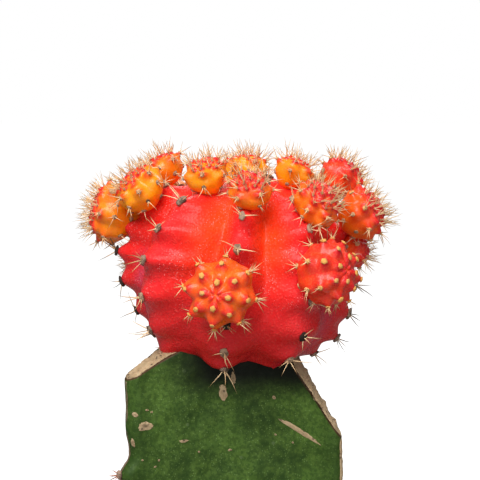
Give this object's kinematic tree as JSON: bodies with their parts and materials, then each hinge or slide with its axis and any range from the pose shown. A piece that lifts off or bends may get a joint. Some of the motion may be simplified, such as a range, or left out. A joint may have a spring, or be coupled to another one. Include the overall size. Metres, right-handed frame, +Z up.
{
  "type": "potted moon cactus",
  "caption": "Grafted moon cactus: a red ribbed globe with orange spiny offsets on a green three-winged stem, planted in a plain round clay pot.",
  "frame": {"origin": "centre of the pot's foot, on the surface that it stands on", "axes": "+Z up along the stem, -Y towards the viewer of the picture, +X to the right in the picture"},
  "size_m": [0.08, 0.08, 0.1722],
  "materials": {
    "clay": "plain fired clay, matt, with fine grain and a faint pale bloom",
    "soil": "dark damp potting mix",
    "grit": "mixed pale and brown mineral grit",
    "rootstock_skin": "dark green waxy skin with pale stippling and scars",
    "cork": "dry tan cork on the trimmed shoulders and margins",
    "scion_skin": "red fleshy skin with a waxy gloss and fine papillae",
    "offset_skin": "orange fleshy skin, yellow at the base and red at the tip",
    "wool": "short felted wool on the areoles",
    "spine": "tan horny spines with brown tips"
  },
  "bodies": {
    "root": {"pot": "clay", "soil": "soil", "rootstock": "rootstock_skin", "scion": "scion_skin", "offset_01": "offset_skin", "offset_02": "offset_skin", "offset_03": "offset_skin", "offset_04": "offset_skin", "offset_05": "offset_skin", "offset_06": "offset_skin", "offset_07": "offset_skin", "offset_08": "offset_skin", "offset_09": "offset_skin", "offset_10": "offset_skin", "offset_11": "offset_skin", "offset_12": "offset_skin", "offset_13": "offset_skin", "offset_14": "offset_skin", "offset_15": "offset_skin", "offset_16": "offset_skin", "offset_17": "offset_skin", "offset_18": "offset_skin"}
  },
  "joints": []
}
